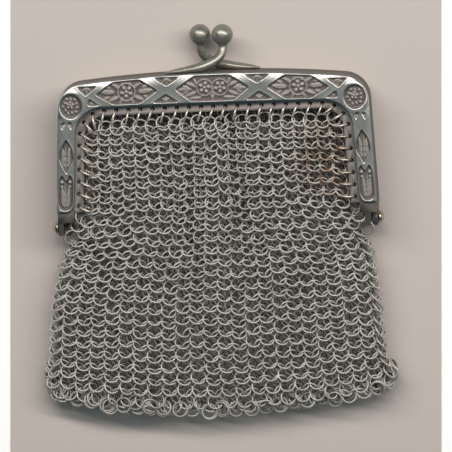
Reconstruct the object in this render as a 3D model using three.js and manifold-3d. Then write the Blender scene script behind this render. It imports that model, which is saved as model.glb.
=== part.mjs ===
// A small ring-mesh coin purse, closed and lying on its back. Millimetres.
// X runs along the frame's top bar, Y towards the clasp and Z up, out of the front face.
// Two like stamped jaws turn on two rivets, and each carries one arm of a kiss lock.
// The ring mesh is one soft bag, hollow between its front and back walls and open along the jaws.
import * as THREE from "three";
import { mergeVertices } from "three/addons/utils/BufferGeometryUtils.js";
import Module from "manifold-3d";

const wasm = await Module();
wasm.setup();

const GAP = 0.3; // clearance between neighbouring pieces

// The frame's front outline
const FOOT_HALF = 32.1; // half width over the legs at Y 0
const SHOULDER_HALF = 30.95; // half width where a leg's line meets the bar's
const CROWN_Y = 30.0; // top edge of the bar at its middle
const SHOULDER_DROP = 1.85; // from the crown down to the outer corner
const CORNER_R = 5.3;
const BAR_WIDTH = 6.1; // ornamented face of the top bar, at its middle
const LEG_WIDTH = 3.5; // ornamented face of a leg
const UNDERSIDE_DROP = 0.15; // the bar's lower edge falls this much towards the corners
const INNER_CORNER_R = 5.9;
const FOOT_Y = 2.9; // where the ornamented legs end
const FOOT_ROUND = 1.6; // rounding of their inner ends

// The frame's section
const THICKNESS = 9.0; // over both jaws
const FACE_T = 1.1; // front plate of a jaw
const RIM_T = 0.9; // outer wall
const STEP_T = 0.7; // inner wall, down to the flange
const EDGE_BEVEL = 0.35;
const FLANGE_W = 1.75;
const FLANGE_T = 0.7;
const FLANGE_DEPTH = 1.3; // the flange lies this far below the ornamented face
const HOLE_R = 0.48;
const HOLE_PITCH = 2.42;
const HOLE_INSET = 0.8; // from the face's inner edge to the row of holes

// Sunk panels and the relief in them
const RECESS = 0.5;
const RECESS_SLOPE = 0.22; // a panel's walls lean in by this much
const DISC_R = 2.2;
const DISC_X = 28.4; // the corner discs end the bar's run of panels
const DISC_Y = 24.2;
const RELIEF_H = 0.36; // height of petals and leaves above a panel's floor
const LEAF_WIDTH = 0.75;
const BAR_ROSETTE_R = 1.5;
const DISC_ROSETTE_R = 1.75;

// Hinges
const HINGE_Y = -0.45;
const EAR_R = 1.6;
const EAR_T = 1.0;
const PIN_R = 0.55;
const HEAD_R = 1.3;
const HEAD_H = 1.0;
const TAIL_R = 1.0;
const TAIL_H = 0.45;
const TAB_T = 1.5; // plain tab between a leg and its ear
const TAB_DEPTH = 0.5; // the tab lies this far below the ornamented face
const TAB_LENGTH = 2.0;
const NECK_HALF = 1.2; // half width of an ear's neck, along Y

// Kiss lock
const BALL_R = 2.12;
const BALL_X = 2.27; // the front jaw's ball lies this far right of the middle
const BALL_Y = 37.2;
const BALL_LEAN = 0.65; // its centre's height over its jaw's rim
const ARM_R = 0.55; // the arm's wire, just under its ball
const ARM_REACH = 9.0; // from the middle back to the tip of the arm's foot

// The mesh bag
const WALL = 1.6; // one layer of ring mesh
const BAG_HALF = 35.0;
const BAG_DROP = 37.65; // down the middle, from the hinges to the bottom edge
const BAG_SAG = 3.9; // the bottom edge hangs this much lower in the middle than at its corners
const MESH_SET = 0.9; // the front wall lies this far below the frame's face
const FRONT_SQUARE = 4; // power of the curve that rounds the front off towards its sides
const BACK_SQUARE = 10; // the back lies flat, so it is squarer

// Facets
const CORNER_STEPS = 6;
const BAR_STEPS = 4;
const ROUND_SIDES = 14;
const DOME_STEPS = 3;
const HOLE_SIDES = 6;
const ARM_SIDES = 10;
const PETAL_SIDES = 5;
const LEAF_SIDES = 4;
const BAG_COLUMNS = 20;

const JAW_DEPTH = (THICKNESS - GAP) / 2; // a jaw's own frame has Z 0 at its rim and JAW_DEPTH at its face
const PANEL_FLOOR = JAW_DEPTH - RECESS;
const FLANGE_TOP = JAW_DEPTH - FLANGE_DEPTH;
const FLANGE_BOTTOM = FLANGE_TOP - FLANGE_T;
const TAB_TOP = JAW_DEPTH - TAB_DEPTH;
const PAST = 1; // cutters run past what they cut
const BITE = 0.15; // relief and necks run this far into what carries them

const silver = { metalness: 0.95, roughness: 0.4 };
const JAW_SILVER = new THREE.MeshStandardMaterial({ ...silver, color: 0x87908e });
const CLASP_SILVER = new THREE.MeshStandardMaterial({ ...silver, color: 0x8f8b7c, roughness: 0.3 });
const RIVET_SILVER = new THREE.MeshStandardMaterial({ ...silver, color: 0x7c7563 });
const MESH_SILVER = new THREE.MeshStandardMaterial({ ...silver, color: 0x9a968b, roughness: 0.45 });

// A closed geometry as a solid that can be joined and cut.
function solid(geometry) {
  const bare = geometry.clone();
  bare.deleteAttribute("normal");
  bare.deleteAttribute("uv");
  const merged = mergeVertices(bare, 1e-4);
  const vertProperties = new Float32Array(merged.attributes.position.array);
  const triVerts = new Uint32Array(merged.index.array);
  return new wasm.Manifold(new wasm.Mesh({ numProp: 3, vertProperties, triVerts }));
}

function indexed(positions, index) {
  const geometry = new THREE.BufferGeometry();
  geometry.setAttribute("position", new THREE.Float32BufferAttribute(positions, 3));
  geometry.setIndex(index);
  return geometry;
}

function named(name, body, finish) {
  const { numProp, vertProperties, triVerts } = body.getMesh();
  const positions = [];
  for (let start = 0; start < vertProperties.length; start += numProp) {
    positions.push(...vertProperties.subarray(start, start + 3));
  }
  const faceted = indexed(positions, [...triVerts]).toNonIndexed();
  faceted.computeVertexNormals();
  const mesh = new THREE.Mesh(faceted, finish);
  mesh.name = name;
  return mesh;
}

// The triangles between two rings of points, the second ring's points following the first's.
function ringSides(start, across) {
  const index = [];
  for (let k = 0; k < across; k++) {
    const here = start + k;
    const next = start + ((k + 1) % across);
    index.push(here, next, here + across, next, next + across, here + across);
  }
  return index;
}

// A closed body through like outlines at rising heights.
function levelled(levels) {
  const backwards = THREE.ShapeUtils.isClockWise(levels[0].outline);
  const rings = levels.map(({ outline, z }) => ({ points: backwards ? [...outline].reverse() : outline, z }));
  const across = rings[0].points.length;
  const index = rings.slice(1).flatMap((_, row) => ringSides(row * across, across));
  const last = (rings.length - 1) * across;
  for (const [a, b, c] of THREE.ShapeUtils.triangulateShape(rings[0].points, [])) {
    index.push(c, b, a, a + last, b + last, c + last);
  }
  const positions = rings.flatMap(({ points, z }) => points.flatMap((p) => [p.x, p.y, z]));
  return solid(indexed(positions, index));
}

function prism(outline, low, high) {
  return levelled([{ outline, z: low }, { outline, z: high }]);
}

// A closed body through rings in space. Its ends are closed across, from a ring's first half to its second.
function loft(rings) {
  const across = rings[0].length;
  const index = rings.slice(1).flatMap((_, row) => ringSides(row * across, across));
  const last = (rings.length - 1) * across;
  for (let k = 0; k + 1 < across / 2; k++) {
    const [far, farNext] = [across - 1 - k, across - 2 - k];
    index.push(k, far, k + 1, k + 1, far, farNext);
    index.push(last + k, last + k + 1, last + far, last + k + 1, last + farNext, last + far);
  }
  return solid(indexed(rings.flat().flatMap((p) => [p.x, p.y, p.z]), index));
}

function block(low, high) {
  const size = new THREE.Vector3().subVectors(high, low);
  const middle = new THREE.Vector3().addVectors(low, high).multiplyScalar(0.5);
  return solid(new THREE.BoxGeometry(size.x, size.y, size.z).translate(middle.x, middle.y, middle.z));
}

// A round bar along X.
function roundBar(radius, fromX, toX, y, z) {
  const bar = new THREE.CylinderGeometry(radius, radius, Math.abs(toX - fromX), ROUND_SIDES);
  return solid(bar.rotateZ(Math.PI / 2).translate((fromX + toX) / 2, y, z));
}

// A low dome that points along X, to the right or to the left.
function dome(radius, height, x, way) {
  const profile = [new THREE.Vector2(0, 0)];
  for (let k = 0; k < DOME_STEPS; k++) {
    const angle = (k / DOME_STEPS) * (Math.PI / 2);
    profile.push(new THREE.Vector2(radius * Math.cos(angle), height * Math.sin(angle)));
  }
  profile.push(new THREE.Vector2(0, height));
  const turned = new THREE.LatheGeometry(profile, ROUND_SIDES).rotateZ((-way * Math.PI) / 2);
  return solid(turned.translate(x, 0, 0));
}

// An edge of the frame, as an arch of two straight legs, two round corners and a bowed bar.
const OUTER_EDGE = {
  footHalf: FOOT_HALF,
  shoulderHalf: SHOULDER_HALF,
  crownY: CROWN_Y,
  shoulderY: CROWN_Y - SHOULDER_DROP,
  radius: CORNER_R,
};
const FACE_EDGE = {
  footHalf: FOOT_HALF - LEG_WIDTH,
  shoulderHalf: SHOULDER_HALF - LEG_WIDTH,
  crownY: CROWN_Y - BAR_WIDTH,
  shoulderY: CROWN_Y - BAR_WIDTH - UNDERSIDE_DROP,
  radius: INNER_CORNER_R,
};

function inset(edge, by) {
  return {
    footHalf: edge.footHalf - by,
    shoulderHalf: edge.shoulderHalf - by,
    crownY: edge.crownY - by,
    shoulderY: edge.shoulderY - by,
    radius: Math.max(edge.radius - by, GAP),
  };
}

// Half width over an edge's straight legs at a height.
function legHalfAt(edge, y) {
  return THREE.MathUtils.mapLinear(y, 0, edge.shoulderY, edge.footHalf, edge.shoulderHalf);
}

// The arch's points from its left foot over the crown to its right foot.
function archPoints(edge, footY) {
  const corner = new THREE.Vector2(edge.shoulderHalf, edge.shoulderY);
  const slope = (2 * (edge.crownY - edge.shoulderY)) / (edge.shoulderHalf + edge.radius);
  const foot = new THREE.Vector2(legHalfAt(edge, footY), footY);
  const down = foot.clone().sub(corner).normalize();
  const along = new THREE.Vector2(-1, slope).normalize();
  const halfAngle = Math.acos(down.dot(along)) / 2;
  const centre = down.clone().add(along).setLength(edge.radius / Math.sin(halfAngle)).add(corner);
  const tangent = edge.radius / Math.tan(halfAngle);
  const legEnd = corner.clone().addScaledVector(down, tangent).sub(centre);
  const barEnd = corner.clone().addScaledVector(along, tangent).sub(centre);
  const startAngle = Math.atan2(legEnd.y, legEnd.x);
  const endAngle = Math.atan2(barEnd.y, barEnd.x);
  const right = [foot];
  for (let k = 0; k <= CORNER_STEPS; k++) {
    const angle = THREE.MathUtils.lerp(startAngle, endAngle, k / CORNER_STEPS);
    right.push(new THREE.Vector2(Math.cos(angle), Math.sin(angle)).multiplyScalar(edge.radius).add(centre));
  }
  const shoulder = right[right.length - 1];
  const rise = (slope * shoulder.x) / 2;
  for (let k = 1; k < BAR_STEPS; k++) {
    const share = 1 - k / BAR_STEPS;
    right.push(new THREE.Vector2(shoulder.x * share, shoulder.y + rise * (1 - share ** 2)));
  }
  const left = right.map((p) => new THREE.Vector2(-p.x, p.y));
  const crown = new THREE.Vector2(0, shoulder.y + rise);
  return [...left, crown, ...right.reverse()];
}

// The strip between an outer and an inner arch, down to its feet.
function band(outer, inner, footY) {
  return [...archPoints(outer, footY), ...archPoints(inner, footY).reverse()];
}

// Height of an arch over a place on X, read off its own points.
function archHeightAt(edge, x) {
  const points = archPoints(edge, FOOT_Y);
  const k = points.findIndex((p, i) => i > 0 && p.x >= x);
  const [a, b] = [points[k - 1], points[k]];
  return THREE.MathUtils.mapLinear(x, a.x, b.x, a.y, b.y);
}

// A place on the top bar: along it as a share of the way to a corner disc, across it from its lower edge.
function onBar(along, across) {
  const x = along * DISC_X;
  const low = CROWN_Y - BAR_WIDTH - UNDERSIDE_DROP * along ** 2;
  return new THREE.Vector2(x, THREE.MathUtils.lerp(low, archHeightAt(OUTER_EDGE, x), across));
}

// A place on a leg: down it from the corner disc to the foot, across it from its inner edge.
function onLeg(side, down, across) {
  const y = THREE.MathUtils.lerp(DISC_Y - DISC_R, FOOT_Y, down);
  const half = THREE.MathUtils.lerp(legHalfAt(FACE_EDGE, y), legHalfAt(OUTER_EDGE, y), across);
  return new THREE.Vector2(side * half, y);
}

// Six-cornered cartouches on the bar: middle, half lengths over tips, top and bottom, and rosettes' places.
const CARTOUCHES = [
  { middle: -0.604, tip: 0.216, top: 0.093, bottom: 0.093, rosettes: [0] },
  { middle: 0, tip: 0.259, top: 0.123, bottom: 0.151, rosettes: [-0.058, 0.058] },
  { middle: 0.604, tip: 0.216, top: 0.093, bottom: 0.093, rosettes: [0] },
];
const CARTOUCHE_TOP = 0.93; // shares of the way across the bar
const CARTOUCHE_TIP = 0.5;
const CARTOUCHE_BOTTOM = 0.08;
const ROSETTE_ACROSS = 0.54;

// Triangles between the cartouches: their base's middle, half length and height, and their point.
const TRIANGLES = [
  { middle: 0.318, half: 0.094, base: 0.94, pointAlong: 0.321, pointAcross: 0.64 },
  { middle: 0.33, half: 0.091, base: 0.08, pointAlong: 0.328, pointAcross: 0.36 },
  { middle: 0.881, half: 0.075, base: 0.87, pointAlong: 0.89, pointAcross: 0.49 },
  { middle: 0.836, half: 0.037, base: 0.08, pointAlong: 0.872, pointAcross: 0.38 },
];

// Panels down a leg: how far down their top, widest part and bottom lie, and their half widths there.
const LEG_PANELS = [
  { top: 0.07, widest: 0.11, bottom: 0.19, topHalf: 0.3, widestHalf: 0.34, bottomHalf: 0.1 },
  { top: 0.23, widest: 0.44, bottom: 0.58, topHalf: 0.06, widestHalf: 0.35, bottomHalf: 0.06 },
  { top: 0.62, widest: 0.68, bottom: 0.96, topHalf: 0.18, widestHalf: 0.36, bottomHalf: 0.28 },
];
const LEG_LEAF = 0.8; // a leg's leaf, as a share of its panel's length

// Leaves that spread from a cartouche's rosettes towards its tips, as shares of the run that is left.
const LEAF_SPRAY = [
  { reach: 0.55, across: 0.5, turn: 0, length: 0.7 },
  { reach: 0.34, across: 0.7, turn: 0.45, length: 0.5 },
  { reach: 0.34, across: 0.3, turn: -0.45, length: 0.5 },
];

// A rosette's petals and heart, as shares of its radius.
const ROSETTE = { petals: 5, ring: 0.58, petalLength: 0.78, petalWidth: 0.66, heart: 0.6 };

function cartoucheCorners({ middle, tip, top, bottom }) {
  return [
    onBar(middle - tip, CARTOUCHE_TIP),
    onBar(middle - bottom, CARTOUCHE_BOTTOM),
    onBar(middle + bottom, CARTOUCHE_BOTTOM),
    onBar(middle + tip, CARTOUCHE_TIP),
    onBar(middle + top, CARTOUCHE_TOP),
    onBar(middle - top, CARTOUCHE_TOP),
  ];
}

function triangleCorners({ middle, half, base, pointAlong, pointAcross }, side) {
  return [
    onBar(side * (middle - half), base),
    onBar(side * (middle + half), base),
    onBar(side * pointAlong, pointAcross),
  ];
}

function legPanelCorners({ top, widest, bottom, topHalf, widestHalf, bottomHalf }, side) {
  const rows = [[top, topHalf], [widest, widestHalf], [bottom, bottomHalf]];
  const innerSide = rows.map(([down, half]) => onLeg(side, down, 0.5 - half));
  const outerSide = rows.reverse().map(([down, half]) => onLeg(side, down, 0.5 + half));
  return [...innerSide, ...outerSide];
}

function discCorners(side) {
  return Array.from({ length: ROUND_SIDES }, (_, k) => {
    const angle = (k / ROUND_SIDES) * 2 * Math.PI;
    return new THREE.Vector2(side * DISC_X + DISC_R * Math.cos(angle), DISC_Y + DISC_R * Math.sin(angle));
  });
}

// What sinks a panel: its outline at the face, drawn in evenly on its middle towards its floor.
function recess(corners) {
  const middle = corners.reduce((sum, p) => sum.add(p), new THREE.Vector2()).divideScalar(corners.length);
  const reaches = corners.map((p, k) => {
    const along = corners[(k + 1) % corners.length].clone().sub(p).normalize();
    return Math.abs(middle.clone().sub(p).cross(along));
  });
  const shrink = 1 - RECESS_SLOPE / Math.min(...reaches);
  const floor = corners.map((p) => p.clone().lerp(middle, 1 - shrink));
  return levelled([
    { outline: floor, z: PANEL_FLOOR },
    { outline: corners, z: JAW_DEPTH },
    { outline: corners, z: JAW_DEPTH + PAST },
  ]);
}

// A raised leaf or petal: a low pyramid on a panel's floor, pointing along its turn.
function boss(place, length, width, turn, sides) {
  const height = RELIEF_H + BITE;
  const pyramid = new THREE.ConeGeometry(0.5, height, sides).rotateX(Math.PI / 2).rotateZ(Math.PI / 2);
  pyramid.scale(length, width, 1).rotateZ(turn);
  return solid(pyramid.translate(place.x, place.y, PANEL_FLOOR - BITE + height / 2));
}

function rosette(place, radius) {
  const raised = [boss(place, radius * ROSETTE.heart, radius * ROSETTE.heart, 0, PETAL_SIDES)];
  for (let k = 0; k < ROSETTE.petals; k++) {
    const turn = Math.PI / 2 + (k / ROSETTE.petals) * 2 * Math.PI;
    const out = new THREE.Vector2(Math.cos(turn), Math.sin(turn)).multiplyScalar(radius * ROSETTE.ring);
    const [length, width] = [radius * ROSETTE.petalLength, radius * ROSETTE.petalWidth];
    raised.push(boss(out.add(place), length, width, turn, PETAL_SIDES));
  }
  return raised;
}

function cartoucheRelief({ middle, tip, rosettes }) {
  const raised = rosettes.flatMap((at) => rosette(onBar(middle + at, ROSETTE_ACROSS), BAR_ROSETTE_R));
  const start = Math.max(...rosettes) + BAR_ROSETTE_R / DISC_X;
  const run = tip - start;
  for (const side of [-1, 1]) {
    for (const leaf of LEAF_SPRAY) {
      const place = onBar(middle + side * (start + run * leaf.reach), leaf.across);
      const turn = side > 0 ? leaf.turn : Math.PI - leaf.turn;
      raised.push(boss(place, run * DISC_X * leaf.length, LEAF_WIDTH, turn, LEAF_SIDES));
    }
  }
  return raised;
}

function legRelief(side) {
  const leg = DISC_Y - DISC_R - FOOT_Y;
  return LEG_PANELS.slice(1).map(({ top, bottom }) => {
    const place = onLeg(side, (top + bottom) / 2, 0.5);
    return boss(place, (bottom - top) * leg * LEG_LEAF, LEAF_WIDTH, Math.PI / 2, LEAF_SIDES);
  });
}

function relief() {
  const outer = [-1, 1].flatMap((side) => [
    ...rosette(new THREE.Vector2(side * DISC_X, DISC_Y), DISC_ROSETTE_R),
    ...legRelief(side),
  ]);
  return [...CARTOUCHES.flatMap(cartoucheRelief), ...outer];
}

function panels() {
  const outer = [-1, 1].flatMap((side) => [
    discCorners(side),
    ...TRIANGLES.map((row) => triangleCorners(row, side)),
    ...LEG_PANELS.map((row) => legPanelCorners(row, side)),
  ]);
  return [...CARTOUCHES.map(cartoucheCorners), ...outer];
}

// The holes' places, evenly spaced along the flange.
function holePlaces() {
  const run = new THREE.CurvePath();
  const points = archPoints(inset(FACE_EDGE, HOLE_INSET), FOOT_Y + HOLE_PITCH / 2);
  points.slice(1).forEach((p, k) => run.add(new THREE.LineCurve(points[k], p)));
  const count = Math.round(run.getLength() / HOLE_PITCH);
  return Array.from({ length: count + 1 }, (_, k) => run.getPointAt(k / count));
}

function hole({ x, y }) {
  const cutter = new THREE.CylinderGeometry(HOLE_R, HOLE_R, JAW_DEPTH, HOLE_SIDES).rotateX(Math.PI / 2);
  return solid(cutter.translate(x, y, JAW_DEPTH / 2));
}

// What rounds a leg's inner lower corner off, down to the flange.
function footCorner(side) {
  const x = legHalfAt(FACE_EDGE, FOOT_Y);
  const corner = [new THREE.Vector2(side * (x - PAST), FOOT_Y - PAST)];
  corner.push(new THREE.Vector2(side * (x + FOOT_ROUND), FOOT_Y - PAST));
  for (let k = 0; k <= CORNER_STEPS; k++) {
    const angle = ((1 + k / CORNER_STEPS) * Math.PI) / 2;
    const inward = new THREE.Vector2(Math.cos(angle), -Math.sin(angle)).multiplyScalar(FOOT_ROUND);
    corner.push(new THREE.Vector2(side * (x + FOOT_ROUND + inward.x), FOOT_Y + FOOT_ROUND + inward.y));
  }
  corner.push(new THREE.Vector2(side * (x - PAST), FOOT_Y + FOOT_ROUND));
  return prism(corner, FLANGE_TOP, JAW_DEPTH + PAST);
}

// One jaw's stamped channel: ornamented plate, outer wall, and inner wall stepping down to the flange.
function channel() {
  const footTop = FOOT_Y + RIM_T;
  const edge = band(OUTER_EDGE, FACE_EDGE, FOOT_Y);
  const face = band(inset(OUTER_EDGE, EDGE_BEVEL), FACE_EDGE, FOOT_Y);
  const inside = band(inset(OUTER_EDGE, RIM_T), inset(FACE_EDGE, -STEP_T), footTop);
  const underFlange = band(inset(OUTER_EDGE, RIM_T), inset(FACE_EDGE, PAST), footTop);
  const flange = band(inset(FACE_EDGE, -STEP_T), inset(FACE_EDGE, FLANGE_W), FOOT_Y);
  const blank = levelled([
    { outline: edge, z: 0 },
    { outline: edge, z: JAW_DEPTH - EDGE_BEVEL },
    { outline: face, z: JAW_DEPTH },
  ]);
  return blank
    .subtract(footCorner(-1))
    .subtract(footCorner(1))
    .subtract(prism(inside, -PAST, JAW_DEPTH - FACE_T))
    .subtract(prism(underFlange, -PAST, FLANGE_BOTTOM))
    .add(prism(flange, FLANGE_BOTTOM, FLANGE_TOP));
}

// The ears interleave: on one side a jaw's ear is the outer one, on the other side the inner one.
const OUTER_EAR = FOOT_HALF - GAP - EAR_T;
const INNER_EAR = OUTER_EAR - GAP - EAR_T;
const AXIS_Z = -GAP / 2; // the rivets' axis in a jaw's own frame

// The plain tab at a leg's foot and the ear under it, bored for the rivet.
function hingeFoot(side, earStart) {
  const across = (x0, x1, y0, y1, z0, z1) => {
    const [low, high] = [Math.min(side * x0, side * x1), Math.max(side * x0, side * x1)];
    return block(new THREE.Vector3(low, y0, z0), new THREE.Vector3(high, y1, z1));
  };
  const inner = legHalfAt(FACE_EDGE, FOOT_Y);
  const outer = legHalfAt(OUTER_EDGE, FOOT_Y) - BITE;
  const [start, end] = [earStart, earStart + EAR_T];
  const tab = across(inner, outer, FOOT_Y - TAB_LENGTH, FOOT_Y + RIM_T / 2, TAB_TOP - TAB_T, TAB_TOP);
  const neckY = HINGE_Y - NECK_HALF;
  const neck = across(start, end, neckY, FOOT_Y - TAB_LENGTH + BITE, EAR_R / 2, TAB_TOP - BITE);
  const disc = roundBar(EAR_R, side * start, side * end, HINGE_Y, AXIS_Z);
  const bore = roundBar(PIN_R + GAP, side * (start - PAST), side * (end + PAST), HINGE_Y, AXIS_Z);
  return tab.add(neck).add(disc).subtract(bore);
}

function jaw() {
  let body = channel().add(hingeFoot(-1, OUTER_EAR)).add(hingeFoot(1, INNER_EAR));
  panels().forEach((corners) => (body = body.subtract(recess(corners))));
  relief().forEach((raised) => (body = body.add(raised)));
  holePlaces().forEach((place) => (body = body.subtract(hole(place))));
  return body;
}

// Stations along an arm, from the foot's tip to its ball. Along X and its lift over the bar's edge are shares
// of the arm's reach and rise, its lean a share of the way from the ball's height to the foot's, and its
// half height and half width are in radii of its own wire.
const ARM_STATIONS = [
  { along: -1.0, lift: 0.0, lean: 1.0, high: 0.2, wide: 0.3 },
  { along: -0.8, lift: 0.0, lean: 1.0, high: 0.5, wide: 1.5 },
  { along: -0.56, lift: 0.012, lean: 1.0, high: 0.8, wide: 2.1 },
  { along: -0.33, lift: 0.03, lean: 1.0, high: 1.0, wide: 1.7 },
  { along: -0.11, lift: 0.09, lean: 0.95, high: 1.15, wide: 1.3 },
  { along: 0.07, lift: 0.186, lean: 0.8, high: 1.2, wide: 1.2 },
  { along: 0.195, lift: 0.34, lean: 0.5, high: 1.15, wide: 1.15 },
  { along: 0.244, lift: 0.52, lean: 0.2, high: 1.0, wide: 1.0 },
  { along: 0.252, lift: 0.8, lean: 0.0, high: 0.95, wide: 0.95 },
];

// One arm of the kiss lock: a leaf-shaped foot along the jaw's top, a horn-like stem and a ball.
function claspArm() {
  const rise = BALL_Y - CROWN_Y - GAP;
  const centres = ARM_STATIONS.map(({ along, lift, lean, high }) => {
    const x = along * ARM_REACH;
    const y = archHeightAt(OUTER_EDGE, x) + GAP + high * ARM_R + lift * rise;
    return new THREE.Vector3(x, y, THREE.MathUtils.lerp(BALL_LEAN, JAW_DEPTH / 2, lean));
  });
  const rings = ARM_STATIONS.map(({ high, wide }, k) => {
    const before = centres[Math.max(k - 1, 0)];
    const after = centres[Math.min(k + 1, centres.length - 1)];
    const along = new THREE.Vector3().subVectors(after, before).normalize();
    const side = new THREE.Vector3(0, 0, 1).addScaledVector(along, -along.z).normalize();
    const up = new THREE.Vector3().crossVectors(along, side);
    return Array.from({ length: ARM_SIDES }, (_, n) => {
      const angle = ((n + 0.5) / ARM_SIDES) * 2 * Math.PI;
      const point = centres[k].clone().addScaledVector(side, Math.cos(angle) * wide * ARM_R);
      return point.addScaledVector(up, Math.sin(angle) * high * ARM_R);
    });
  });
  const ball = new THREE.SphereGeometry(BALL_R, ROUND_SIDES, ROUND_SIDES / 2 + 1);
  return loft(rings).add(solid(ball.translate(BALL_X, BALL_Y, BALL_LEAN)));
}

// A rivet along X on its own axis, with a domed head outside the ears and a small one inside them.
function rivet(side) {
  const outside = FOOT_HALF;
  const inside = INNER_EAR - GAP;
  const head = dome(HEAD_R, HEAD_H, side * outside, side);
  const tail = dome(TAIL_R, TAIL_H, side * inside, -side);
  return roundBar(PIN_R, side * inside, side * outside, 0, 0).add(head).add(tail);
}

// The bag fits between the flanges, and below them between the rivets' tails. It is widest low down.
const ROOM_EDGE = inset(FACE_EDGE, FLANGE_W + GAP);
const HINGE_ROOM = INNER_EAR - GAP - TAIL_H - GAP;
const BAG_TOP = CROWN_Y - BAR_WIDTH - FLANGE_W - GAP;
const BAG_WAIST = HINGE_Y - EAR_R;
const BAG_HEIGHT = THICKNESS - MESH_SET;

// Sections down the bag: how far down (0 top edge, 1 hinges, 2 bottom edge), then as shares the way from the
// flanges' room to the hinges', from there to the full width, the middle's place on X, the heights of front
// and back, how square the edges stand, and how far the sides are open.
const BAG_SECTIONS = [
  { down: 0.0, hinge: 0, flare: 0, shift: 0, front: 1, back: 0.06, edge: 0.9, open: 1 },
  { down: 0.031, hinge: 0, flare: 0, shift: 0, front: 1, back: 0.06, edge: 0.9, open: 1 },
  { down: 0.11, hinge: 0, flare: 0, shift: 0, front: 1, back: 0.055, edge: 0.88, open: 1 },
  { down: 0.41, hinge: 0, flare: 0, shift: 0, front: 1, back: 0.02, edge: 0.86, open: 1 },
  { down: 0.8, hinge: 0, flare: 0, shift: 0, front: 1, back: 0, edge: 0.8, open: 1 },
  { down: 0.89, hinge: 0.8, flare: 0, shift: 0, front: 1, back: 0, edge: 0.7, open: 1 },
  { down: 1.0, hinge: 1, flare: 0.02, shift: 0, front: 1, back: 0, edge: 0.5, open: 0 },
  { down: 1.065, hinge: 1, flare: 0.22, shift: -0.006, front: 1, back: 0, edge: 0.45, open: 0 },
  { down: 1.16, hinge: 1, flare: 0.46, shift: -0.012, front: 1, back: 0, edge: 0.45, open: 0 },
  { down: 1.295, hinge: 1, flare: 0.6, shift: -0.02, front: 1, back: 0, edge: 0.45, open: 0 },
  { down: 1.44, hinge: 1, flare: 0.71, shift: -0.026, front: 1, back: 0, edge: 0.45, open: 0 },
  { down: 1.59, hinge: 1, flare: 0.76, shift: -0.028, front: 0.995, back: 0, edge: 0.45, open: 0 },
  { down: 1.74, hinge: 1, flare: 0.86, shift: -0.026, front: 0.95, back: 0, edge: 0.48, open: 0 },
  { down: 1.86, hinge: 1, flare: 0.99, shift: -0.02, front: 0.86, back: 0, edge: 0.52, open: 0 },
  { down: 1.92, hinge: 1, flare: 1, shift: -0.018, front: 0.77, back: 0, edge: 0.56, open: 0 },
  { down: 1.965, hinge: 1, flare: 0.86, shift: -0.015, front: 0.65, back: 0, edge: 0.6, open: 0 },
  { down: 2.0, hinge: 1, flare: 0.6, shift: -0.01, front: 0.45, back: 0.04, edge: 0.7, open: 0 },
];

// Half the room between the flanges at a height, narrowing round their upper corners.
function flangeRoom(y) {
  const { shoulderY, radius } = ROOM_EDGE;
  const intoCorner = THREE.MathUtils.clamp(y - (shoulderY - radius), 0, radius);
  return legHalfAt(ROOM_EDGE, y) - radius + Math.sqrt(radius ** 2 - intoCorner ** 2);
}

// Soft folds down the front: their place and half width across, how far down they reach, and depth in walls.
const BAG_FOLDS = [
  { at: -0.29, width: 0.07, from: 0.1, to: 1.3, depth: 0.2 },
  { at: -0.14, width: 0.06, from: 0.0, to: 1.55, depth: 0.25 },
  { at: 0.12, width: 0.06, from: 0.0, to: 1.45, depth: 0.25 },
  { at: 0.55, width: 0.08, from: 0.25, to: 1.65, depth: 0.2 },
];

function foldDepth(share, down) {
  return BAG_FOLDS.reduce((sum, { at, width, from, to, depth }) => {
    const along = THREE.MathUtils.clamp((down - from) / (to - from), 0, 1);
    return sum + WALL * depth * Math.sin(along * Math.PI) * Math.exp(-(((share - at) / width) ** 2));
  }, 0);
}

// One skin of the bag: its outside, or its inside drawn in by a wall and run out past its openings.
function bagSkin(inside) {
  const wall = inside ? WALL : 0;
  const rings = BAG_SECTIONS.map((row) => {
    const above = Math.min(row.down, 1);
    const below = Math.max(row.down - 1, 0);
    const frameY = THREE.MathUtils.lerp(BAG_TOP, BAG_WAIST, above);
    const room = THREE.MathUtils.lerp(flangeRoom(frameY), HINGE_ROOM, row.hinge);
    const drawnIn = inside ? THREE.MathUtils.lerp(WALL, -PAST, row.open) : 0;
    const half = THREE.MathUtils.lerp(room, BAG_HALF, row.flare) - drawnIn;
    const startY = frameY + (inside && row.down === 0 ? PAST : 0);
    const top = row.front * BAG_HEIGHT - wall;
    const bottom = row.back * BAG_HEIGHT + wall;
    const middle = (top + bottom) / 2;
    const point = (share, height, square) => {
      const x = row.shift * BAG_HALF + share * half;
      const across = x / BAG_HALF;
      const drop = BAG_DROP - BAG_SAG * across ** 2 - wall;
      const round = row.edge + (1 - row.edge) * (1 - Math.abs(share) ** square) ** (1 / square);
      const fold = height > middle ? foldDepth(across, row.down) : 0;
      return new THREE.Vector3(x, startY - below * drop, middle + (height - middle) * round - fold);
    };
    const shares = Array.from({ length: BAG_COLUMNS + 1 }, (_, k) => 1 - (2 * k) / BAG_COLUMNS);
    const front = shares.map((share) => point(share, top, FRONT_SQUARE));
    const back = shares.reverse().map((share) => point(share, bottom, BACK_SQUARE));
    return [...front, ...back];
  });
  return loft(rings);
}

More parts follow.
